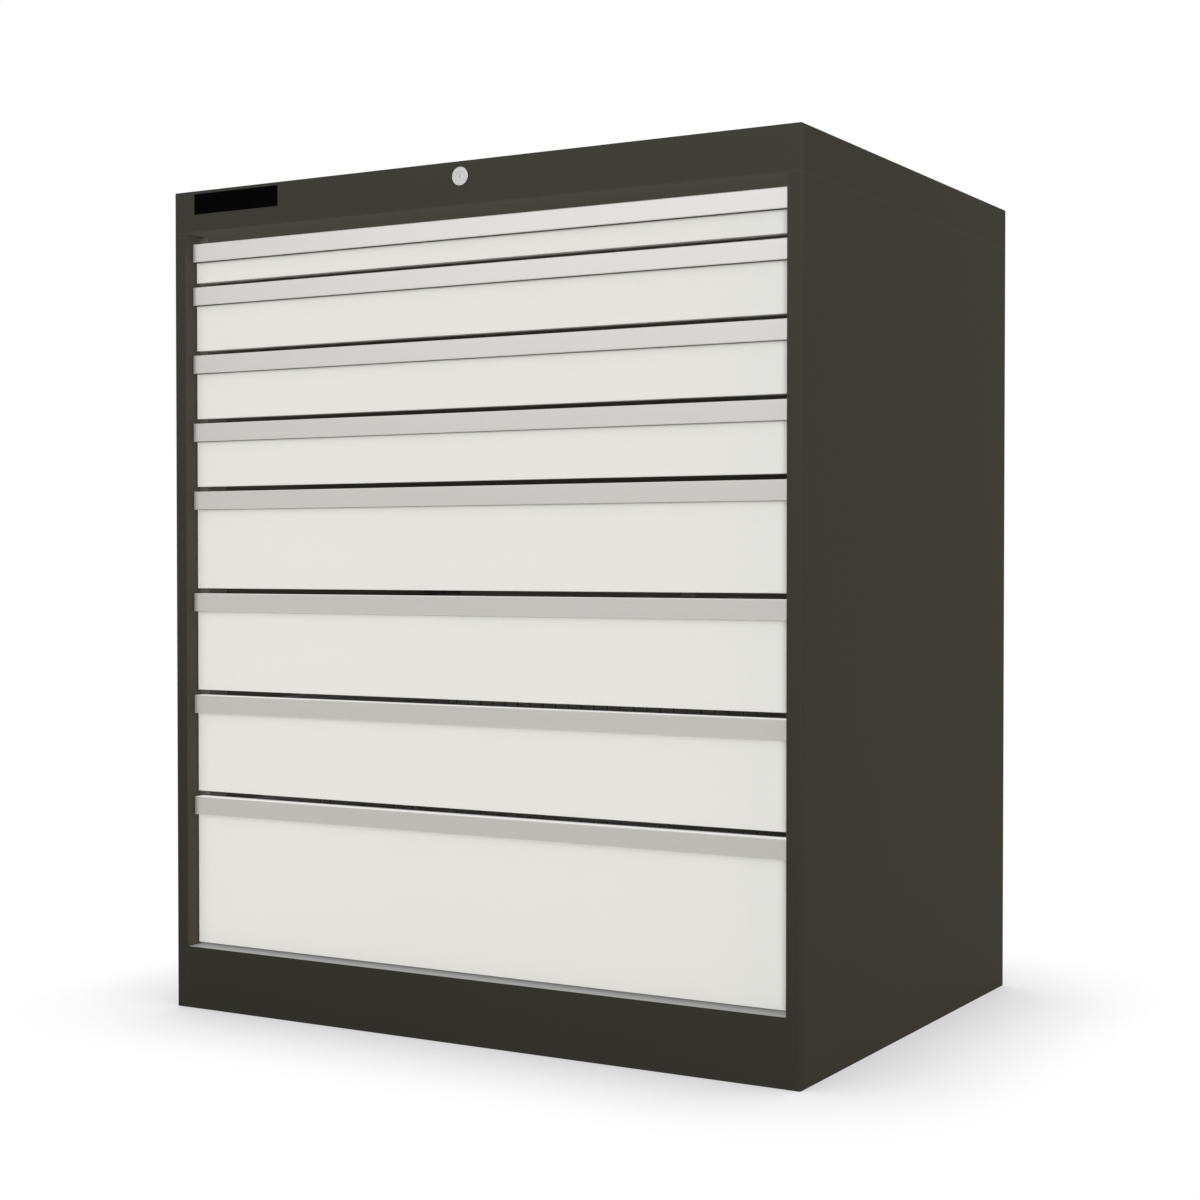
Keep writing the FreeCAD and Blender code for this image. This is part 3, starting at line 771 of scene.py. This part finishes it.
def zinc_plate(name, metals):
    """Bluish zinc plate of the rails, the uprights and the parts of the lock"""
    return bare_metal(
        name, zinc_bloom, metals.zinc, depth=0.00002,
        Tint=(0.93, 0.96, 1.0, 1.0), Cells=140.0, Roughness=0.34,
    )


def rail_zinc(metals):
    """One finish for all rails and for the lock's rod, bar and brackets, with a faint painted
    glow
    """
    known = bpy.data.materials.get("rail_zinc")
    return known or with_painted_glow(zinc_plate("rail_zinc", metals), metals.runner_light)


def upright_zinc(metals):
    """Uprights, with painted glow for the light of the fronts on the front pair"""
    metal = zinc_plate("upright_zinc", metals)
    return with_painted_bounce(metal, metals.upright_light, Inward=0.6, Forward=1.0, Front=0.08, Back=0.3)


def screw_zinc(metals):
    """Yellowish plate of screws and bolts"""
    return bare_metal(
        "screw_zinc", zinc_bloom, metals.screws, depth=0.00001,
        Tint=(1.0, 0.96, 0.82, 1.0), Cells=500.0, Roughness=0.28,
    )


def satin_chrome(name, colour):
    """Fine satin plate of the lock"""
    return bare_metal(
        name, zinc_bloom, colour, depth=0.000003,
        Tint=(0.97, 0.98, 1.0, 1.0), Cells=900.0, Roughness=0.30,
    )


def lock_satin(metals):
    """Flange and barrel of the lock"""
    return satin_chrome("lock_satin", metals.chrome)


def plug_satin(metals):
    """Darker plug of the lock, with a faint painted glow on all its faces that lights its key
    slot
    """
    metal = satin_chrome("plug_satin", times(metals.chrome, 0.58))
    return with_painted_glow(metal, metals.plug_light)


# Pieces
def new_object(name, data):
    """An object of its own for the data, in the scene"""
    made = bpy.data.objects.new(name, data)
    bpy.context.scene.collection.objects.link(made)
    return made


def dress(names, material):
    """Gives construction pieces their finish"""
    for name in names:
        piece = nodes[name]
        if not piece.material_slots:
            piece.data.materials.append(material)
        for held in piece.material_slots:
            held.material = material


def merged_copy(name, suffix):
    """A copy of a construction piece as one joined surface with whole flat faces"""
    mesh = nodes[name].data.copy()
    mesh.name = name + suffix
    surface = bmesh.new()
    surface.from_mesh(mesh)
    bmesh.ops.remove_doubles(surface, verts=surface.verts, dist=JOIN_REACH)
    bmesh.ops.dissolve_limit(
        surface, angle_limit=FLAT_ANGLE, verts=surface.verts, edges=surface.edges
    )
    surface.to_mesh(mesh)
    surface.free()
    return mesh


def set_down(mesh, name, node, material):
    """Puts a finished mesh in the scene, in place of its construction piece"""
    mesh.materials.clear()
    mesh.materials.append(material)
    piece = new_object(name, mesh)
    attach(piece, body_of[node])
    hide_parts(node)
    return piece


def eased(name, material, ease):
    """The piece with a soft break along its sharp edges"""
    mesh = merged_copy(name, "_eased")
    mesh.shade_smooth()
    piece = set_down(mesh, name + "_eased", name, material)
    softened = piece.modifiers.new("edge_break", "BEVEL")
    softened.width = ease
    softened.segments = BREAK_STEPS
    softened.limit_method = "ANGLE"
    softened.angle_limit = SHARP_ANGLE
    softened.miter_outer = "MITER_ARC"
    flattened = piece.modifiers.new("flat_faces", "WEIGHTED_NORMAL")
    flattened.keep_sharp = False
    return piece


# Slotted trays
def rectangle(tree, width, height):
    """A flat closed outline"""
    inputs = {"Width": width, "Height": height}
    return add_node(tree, "GeometryNodeCurvePrimitiveQuadrilateral", inputs).outputs[0]


def grid(tree, width, height, columns, rows):
    """A flat sheet with the given points along its width and its height"""
    inputs = {"Size X": width, "Size Y": height, "Vertices X": columns, "Vertices Y": rows}
    return add_node(tree, "GeometryNodeMeshGrid", inputs).outputs[0]


def moved(tree, geometry, x=0.0, y=0.0, z=0.0, turn=(0.0, 0.0, 0.0)):
    """The geometry turned and then moved"""
    place = add_node(tree, "ShaderNodeCombineXYZ", {0: x, 1: y, 2: z}).outputs[0]
    inputs = {"Geometry": geometry, "Translation": place, "Rotation": turn}
    return add_node(tree, "GeometryNodeTransform", inputs).outputs[0]


def joined(tree, parts):
    """The parts as one geometry"""
    node = add_node(tree, "GeometryNodeJoinGeometry")
    for part in parts:
        tree.links.new(part, node.inputs[0])
    return node.outputs[0]


def slotted_tile(tree, size, width):
    """A piece of wall around one upright slot with round ends"""
    outer = rectangle(tree, width, size["Row Pitch"])
    slot = rectangle(tree, size["Slot Width"], size["Slot Height"])
    radius = calculate(tree, "MULTIPLY", size["Slot Width"], CORNER_SHARE)
    inputs = {"Curve": slot, "Radius": radius, FILLET_STEPS: CORNER_STEPS}
    rounded = add_node(tree, "GeometryNodeFilletCurve", inputs, mode="POLY").outputs[0]
    both = joined(tree, [outer, rounded])
    return add_node(tree, "GeometryNodeFillCurve", {0: both}).outputs[0]


def slotted_wall(tree, size, length, columns):
    """An upright wall: a plain strip, rows of slots and a plain strip up to its top"""
    slotted_height = calculate(tree, "MULTIPLY", size["Rows"], size["Row Pitch"])
    slotted_top = calculate(tree, "ADD", size["First Row"], slotted_height)
    top_strip = calculate(tree, "SUBTRACT", size["Height"], slotted_top)
    step = calculate(tree, "DIVIDE", length, columns)
    span = calculate(tree, "SUBTRACT", length, step)
    rise = calculate(tree, "SUBTRACT", slotted_height, size["Row Pitch"])
    inputs = {
        "Points": grid(tree, span, rise, columns, size["Rows"]),
        "Instance": slotted_tile(tree, size, step),
    }
    tiles = add_node(tree, "GeometryNodeInstanceOnPoints", inputs).outputs[0]
    rows = add_node(tree, "GeometryNodeRealizeInstances", {0: tiles}).outputs[0]
    points = calculate(tree, "ADD", columns, 1)
    low = grid(tree, length, size["First Row"], points, 2)
    high = grid(tree, length, top_strip, points, 2)
    middle = calculate(tree, "MULTIPLY_ADD", slotted_height, 0.5, size["First Row"])
    low_middle = calculate(tree, "MULTIPLY", size["First Row"], 0.5)
    high_middle = calculate(tree, "MULTIPLY_ADD", top_strip, 0.5, slotted_top)
    parts = [
        moved(tree, rows, y=middle),
        moved(tree, low, y=low_middle),
        moved(tree, high, y=high_middle),
    ]
    return moved(tree, joined(tree, parts), turn=(math.pi / 2, 0.0, 0.0))


def slotted_shell(name):
    """Open box with rows of slots in its four walls, as an inside surface with side rims"""
    inputs = {
        "Width": (NUMBER, 0.9),
        "Length": (NUMBER, 0.6),
        "Height": (NUMBER, 0.1),
        "Rim": (NUMBER, 0.0075),
        "Columns Across": (COUNT, 36),
        "Columns Along": (COUNT, 24),
        "Rows": (COUNT, 2),
        "Row Pitch": (NUMBER, 0.03),
        "First Row": (NUMBER, 0.012),
        "Slot Width": (NUMBER, 0.003),
        "Slot Height": (NUMBER, 0.02),
        "Finish": ("NodeSocketMaterial", None),
    }
    outputs = {"Geometry": "NodeSocketGeometry"}
    tree, size, out = new_tree(name, inputs, outputs, "GeometryNodeTree")
    half_width = calculate(tree, "MULTIPLY", size["Width"], 0.5)
    half_length = calculate(tree, "MULTIPLY", size["Length"], 0.5)
    minus_width = calculate(tree, "MULTIPLY", size["Width"], -0.5)
    minus_length = calculate(tree, "MULTIPLY", size["Length"], -0.5)
    across = slotted_wall(tree, size, size["Width"], size["Columns Across"])
    along = slotted_wall(tree, size, size["Length"], size["Columns Along"])
    quarter = (0.0, 0.0, math.pi / 2)
    across_points = calculate(tree, "ADD", size["Columns Across"], 1)
    along_points = calculate(tree, "ADD", size["Columns Along"], 1)
    floor = grid(tree, size["Width"], size["Length"], across_points, along_points)
    rim = grid(tree, size["Rim"], size["Length"], 2, along_points)
    rim_place = calculate(tree, "MULTIPLY_ADD", size["Rim"], 0.5, half_width)
    minus_rim_place = calculate(tree, "MULTIPLY", rim_place, -1.0)
    parts = [
        floor,
        moved(tree, across, y=half_length),
        moved(tree, across, y=minus_length),
        moved(tree, along, x=half_width, turn=quarter),
        moved(tree, along, x=minus_width, turn=quarter),
        moved(tree, rim, x=rim_place, z=size["Height"]),
        moved(tree, rim, x=minus_rim_place, z=size["Height"]),
    ]
    inputs = {"Geometry": joined(tree, parts), "Distance": WELD_REACH}
    welded = add_node(tree, "GeometryNodeMergeByDistance", inputs).outputs[0]
    whole = add_node(tree, "GeometryNodeRealizeInstances", {0: welded}).outputs[0]
    inputs = {"Geometry": whole, "Material": size["Finish"]}
    dressed = add_node(tree, "GeometryNodeSetMaterial", inputs).outputs[0]
    return put_out(tree, out, Geometry=dressed)


def grown_mesh(name, tree, values):
    """Runs a geometry tree with the given values and returns its result as a plain mesh"""
    holder = new_object(name + "_grower", bpy.data.meshes.new(name + "_seed"))
    modifier = holder.modifiers.new("grow", "NODES")
    modifier.node_group = tree
    for item in tree.interface.items_tree:
        if item.item_type == "SOCKET" and item.in_out == "INPUT" and item.name in values:
            modifier[item.identifier] = values[item.name]
    evaluated = holder.evaluated_get(bpy.context.evaluated_depsgraph_get())
    mesh = bpy.data.meshes.new_from_object(evaluated)
    mesh.name = name
    holder.modifiers.remove(modifier)
    bpy.data.objects.remove(holder)
    return mesh


def faced_inwards(surface):
    """Turns the faces of an open box to its inside, which is over its floor"""
    bmesh.ops.recalc_face_normals(surface, faces=surface.faces)
    lowest = min(surface.faces, key=lambda face: face.calc_center_median().z)
    if lowest.normal.z < 0:
        bmesh.ops.reverse_faces(surface, faces=surface.faces)


def slotted_tray(number, material, details):
    """A folded tray with slots for dividers, in the place of the plain one"""
    node = "tray_%d" % number
    low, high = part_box(node)
    rim = TRAY_RIM + TRAY_SHEET
    width = high.x - low.x - 2 * rim
    length = high.y - low.y - 2 * TRAY_SHEET
    height = high.z - low.z - TRAY_SHEET
    room = height - details.row_start - details.row_margin
    values = {
        "Width": width,
        "Length": length,
        "Height": height,
        "Rim": rim,
        "Columns Across": round(width / details.slot_pitch),
        "Columns Along": round(length / details.slot_pitch),
        "Rows": int(room / details.row_pitch),
        "Row Pitch": details.row_pitch,
        "First Row": details.row_start,
        "Slot Width": details.slot_width,
        "Slot Height": details.slot_height,
        "Finish": material,
    }
    name = "tray_%d_slotted" % number
    mesh = grown_mesh(name, once(slotted_shell), values)
    surface = bmesh.new()
    surface.from_mesh(mesh)
    faced_inwards(surface)
    middle = (low + high) / 2
    place = (middle.x, middle.y, low.z + TRAY_SHEET)
    bmesh.ops.translate(surface, verts=surface.verts, vec=place)
    surface.to_mesh(mesh)
    surface.free()
    piece = set_down(mesh, name, node, material)
    sheet = piece.modifiers.new("sheet", "SOLIDIFY")
    sheet.thickness = TRAY_SHEET
    sheet.offset = -1.0
    sheet.use_even_offset = True
    return piece


# Stage
def seen_rays(tree):
    """1 for rays that show the background: those of the camera, of gloss and of glass"""
    path = add_node(tree, "ShaderNodeLightPath").outputs
    seen = calculate(tree, "MAXIMUM", path["Is Camera Ray"], path["Is Glossy Ray"])
    return calculate(tree, "MAXIMUM", seen, path["Is Transmission Ray"])


def floor_material(studio):
    """Pale floor: plain where it lights the object, white with a painted soft shadow where it is
    seen
    """
    material = bpy.data.materials.new("studio_floor")
    material.use_nodes = True
    tree = material.node_tree
    tree.nodes.clear()
    pale = rgba((studio.floor_white,) * 3)
    matt = add_node(tree, "ShaderNodeBsdfDiffuse", {"Color": pale}).outputs[0]
    inputs = {"Color": WHITE, "Strength": studio.floor_light}
    even = add_node(tree, "ShaderNodeEmission", inputs).outputs[0]
    plain = add_node(tree, "ShaderNodeAddShader", {0: matt, 1: even}).outputs[0]
    # Painted shadow: the shade seen on the floor comes from occlusion, not from the lamps
    inputs = {"Distance": studio.shade_reach}
    cover = add_node(tree, "ShaderNodeAmbientOcclusion", inputs, samples=SHADE_SAMPLES)
    lost = calculate(tree, "SUBTRACT", 1.0, cover.outputs["AO"])
    shade = calculate(tree, "MULTIPLY_ADD", lost, -2.0 * studio.shade_depth, 1.0)
    seen = add_node(tree, "ShaderNodeEmission", {"Color": grey(tree, shade)}).outputs[0]
    mixed = add_node(tree, "ShaderNodeMixShader", {0: seen_rays(tree), 1: plain, 2: seen})
    add_node(tree, "ShaderNodeOutputMaterial", {"Surface": mixed.outputs[0]})
    return material


def build_floor(studio):
    """A wide floor just under the feet"""
    reach = FLOOR_REACH
    corners = [(-reach, -reach), (reach, -reach), (reach, reach), (-reach, reach)]
    mesh = bpy.data.meshes.new("studio_floor")
    mesh.from_pydata([(x, y, -FLOOR_DROP) for x, y in corners], [], [(0, 1, 2, 3)])
    mesh.materials.append(floor_material(studio))
    new_object("studio_floor", mesh)


def build_world(studio):
    """Even light all round, and plain white where the background is seen"""
    world = bpy.data.worlds.new("studio_dome")
    world.use_nodes = True
    tree = world.node_tree
    tree.nodes.clear()
    inputs = {MIX_FACTOR: seen_rays(tree), MIX_NUMBER_1: studio.dome, MIX_NUMBER_2: 1.0}
    mixed = add_node(tree, "ShaderNodeMix", inputs, data_type="FLOAT")
    inputs = {"Color": WHITE, "Strength": mixed.outputs[MIXED_NUMBER]}
    dome = add_node(tree, "ShaderNodeBackground", inputs).outputs[0]
    add_node(tree, "ShaderNodeOutputWorld", {"Surface": dome})
    bpy.context.scene.world = world


def build_softbox(studio):
    """A large lamp high before the front, on the left"""
    lamp = bpy.data.lights.new("softbox", "AREA")
    lamp.shape = "RECTANGLE"
    lamp.size = 7.5
    lamp.size_y = 4.1
    lamp.energy = studio.softbox
    lamp.color = (0.94, 0.93, 1.0)
    softbox = new_object("softbox", lamp)
    softbox.location = (-3.0, -8.1, 3.95)
    softbox.rotation_euler = (math.radians(75.0), 0.0, math.radians(-8.0))
    softbox.visible_camera = False


def broad_light(name, strength, *, colour, height, turn, spread):
    """A wide even light from the given height and turn to the right, all in degrees"""
    lamp = bpy.data.lights.new(name, "SUN")
    lamp.energy = strength
    lamp.color = colour
    lamp.angle = math.radians(spread)
    light = new_object(name, lamp)
    light.rotation_euler = (math.radians(90.0 - height), 0.0, math.radians(turn))


def build_broad_lights(studio):
    """Wide even lights from beside the camera, on both sides and from behind"""
    broad_light("fill", studio.fill, colour=(0.97, 1.0, 1.0), height=2.0, turn=30.0, spread=20.0)
    broad_light(
        "side_light", studio.side_light,
        colour=(1.0, 0.73, 0.55), height=12.0, turn=86.0, spread=40.0,
    )
    broad_light(
        "left_light", studio.left_light,
        colour=(1.0, 1.0, 1.0), height=12.0, turn=-100.0, spread=20.0,
    )
    broad_light(
        "back_light", studio.back_light,
        colour=(1.0, 1.0, 1.0), height=25.0, turn=205.0, spread=40.0,
    )


def build_camera(studio):
    """The camera, at the photograph's place and angle"""
    lens = bpy.data.cameras.new("camera")
    lens.sensor_width = SENSOR_WIDTH
    lens.angle = studio.field_of_view
    camera = new_object("camera", lens)
    camera.location = studio.camera_place
    camera.rotation_euler = (math.pi / 2 + studio.camera_pitch, 0.0, studio.camera_turn)
    bpy.context.scene.camera = camera


class CABINET_OT_build_stage(Operator):
    """Makes the pale floor, the even light all round, the lamps and the camera"""

    bl_idname = "cabinet.build_stage"
    bl_label = "Build stage"

    def execute(self, context):
        studio = context.scene.cabinet_studio
        build_floor(studio)
        build_world(studio)
        build_softbox(studio)
        build_broad_lights(studio)
        build_camera(studio)
        context.scene.view_settings.view_transform = "Standard"
        return {"FINISHED"}


class CABINET_OT_finish_housing(Operator):
    """Paints the folded sheets of the housing and eases their edges"""

    bl_idname = "cabinet.finish_housing"
    bl_label = "Finish housing"

    def execute(self, context):
        paints = context.scene.cabinet_paints
        ease = context.scene.cabinet_details.ease
        paint = housing_powder(paints)
        side_panels = ("left_side_panel", "right_side_panel")
        for name in side_panels + ("top_cap", "plinth_front", "plinth_rear"):
            eased(name, paint, ease)
        eased("back_panel", back_powder(paints), ease)
        dress(["base_bearers"], paint)
        return {"FINISHED"}


class CABINET_OT_finish_inner_sheets(Operator):
    """Paints the floor pan and the lock rail, which show under and over the drawers"""

    bl_idname = "cabinet.finish_inner_sheets"
    bl_label = "Finish inner sheets"

    def execute(self, context):
        paints = context.scene.cabinet_paints
        ease = context.scene.cabinet_details.ease
        eased("floor_pan", inner_powder(paints), ease)
        eased("lock_rail", underside_powder(paints), ease)
        return {"FINISHED"}


class CABINET_OT_finish_fronts(Operator):
    """Paints the drawer fronts and eases their edges"""

    bl_idname = "cabinet.finish_fronts"
    bl_label = "Finish drawer fronts"

    def execute(self, context):
        paint = front_powder(context.scene.cabinet_paints)
        for number in drawer_numbers:
            eased("front_%d" % number, paint, context.scene.cabinet_details.ease)
        return {"FINISHED"}


class CABINET_OT_finish_handles(Operator):
    """Gives the handle extrusions their anodised finish"""

    bl_idname = "cabinet.finish_handles"
    bl_label = "Finish handles"

    def execute(self, context):
        metal = handle_anodised(context.scene.cabinet_metals)
        for number in drawer_numbers:
            eased("handle_%d" % number, metal, context.scene.cabinet_details.ease)
        return {"FINISHED"}


class CABINET_OT_build_trays(Operator):
    """Makes the folded trays with their rows of slots"""

    bl_idname = "cabinet.build_trays"
    bl_label = "Build trays"

    def execute(self, context):
        paint = tray_powder(context.scene.cabinet_paints)
        for number in drawer_numbers:
            slotted_tray(number, paint, context.scene.cabinet_details)
        return {"FINISHED"}


class CABINET_OT_finish_runners(Operator):
    """Gives uprights, rails and carriages their plate and ground steel"""

    bl_idname = "cabinet.finish_runners"
    bl_label = "Finish runners"

    def execute(self, context):
        metals = context.scene.cabinet_metals
        drawer_rails = ["drawer_rails_%d" % number for number in drawer_numbers]
        carriages = ["carriage_%d" % number for number in drawer_numbers]
        dress(["uprights"], upright_zinc(metals))
        dress(["cabinet_rails"] + drawer_rails, rail_zinc(metals))
        dress(carriages, ground_steel(metals))
        return {"FINISHED"}


class CABINET_OT_finish_lock(Operator):
    """Gives the lock its chrome, and its rod, bar and brackets their zinc"""

    bl_idname = "cabinet.finish_lock"
    bl_label = "Finish lock"

    def execute(self, context):
        metals = context.scene.cabinet_metals
        ease = context.scene.cabinet_details.ease
        eased("lock_barrel", lock_satin(metals), ease / 2)
        eased("lock_plug", plug_satin(metals), ease / 4)
        dress(["lock_rod", "lock_bar", "lock_brackets"], rail_zinc(metals))
        return {"FINISHED"}


class CABINET_OT_finish_fasteners(Operator):
    """Gives screws, bolts and the lock nut their zinc plate"""

    bl_idname = "cabinet.finish_fasteners"
    bl_label = "Finish fasteners"

    def execute(self, context):
        metal = screw_zinc(context.scene.cabinet_metals)
        dress(["back_screws", "cap_bolts", "lock_nut"], metal)
        return {"FINISHED"}


class CABINET_OT_finish_plate(Operator):
    """Gives the bare plate on the fascia its black"""

    bl_idname = "cabinet.finish_plate"
    bl_label = "Finish plate"

    def execute(self, context):
        black = plate_lacquer(context.scene.cabinet_paints)
        eased("name_plate", black, context.scene.cabinet_details.ease / 4)
        return {"FINISHED"}


operators = (
    CABINET_OT_build_stage,
    CABINET_OT_finish_housing,
    CABINET_OT_finish_inner_sheets,
    CABINET_OT_finish_fronts,
    CABINET_OT_finish_handles,
    CABINET_OT_build_trays,
    CABINET_OT_finish_runners,
    CABINET_OT_finish_lock,
    CABINET_OT_finish_fasteners,
    CABINET_OT_finish_plate,
)


class CABINET_PT_finishes(Panel):
    """Lists the pieces of the cabinet and its stage"""

    bl_idname = "CABINET_PT_finishes"
    bl_label = "Drawer cabinet"
    bl_space_type = "VIEW_3D"
    bl_region_type = "UI"
    bl_category = "Cabinet"

    def draw(self, context):
        for operator in operators:
            self.layout.operator(operator.bl_idname)


settings = {
    "cabinet_paints": CabinetPaints,
    "cabinet_metals": CabinetMetals,
    "cabinet_details": CabinetDetails,
    "cabinet_studio": CabinetStudio,
}


def register():
    """Makes the settings, the operators and the panel known to Blender"""
    for group in settings.values():
        bpy.utils.register_class(group)
    for name, group in settings.items():
        setattr(bpy.types.Scene, name, PointerProperty(type=group))
    for operator in operators:
        bpy.utils.register_class(operator)
    bpy.utils.register_class(CABINET_PT_finishes)


def unregister():
    """Takes away what register made known, in the opposite order"""
    bpy.utils.unregister_class(CABINET_PT_finishes)
    for operator in reversed(operators):
        bpy.utils.unregister_class(operator)
    for name in settings:
        delattr(bpy.types.Scene, name)
    for group in reversed(list(settings.values())):
        bpy.utils.unregister_class(group)


def main():
    """Runs every operator in order"""
    register()
    for operator in operators:
        family, action = operator.bl_idname.split(".")
        getattr(getattr(bpy.ops, family), action)()


if __name__ == "__main__":
    main()
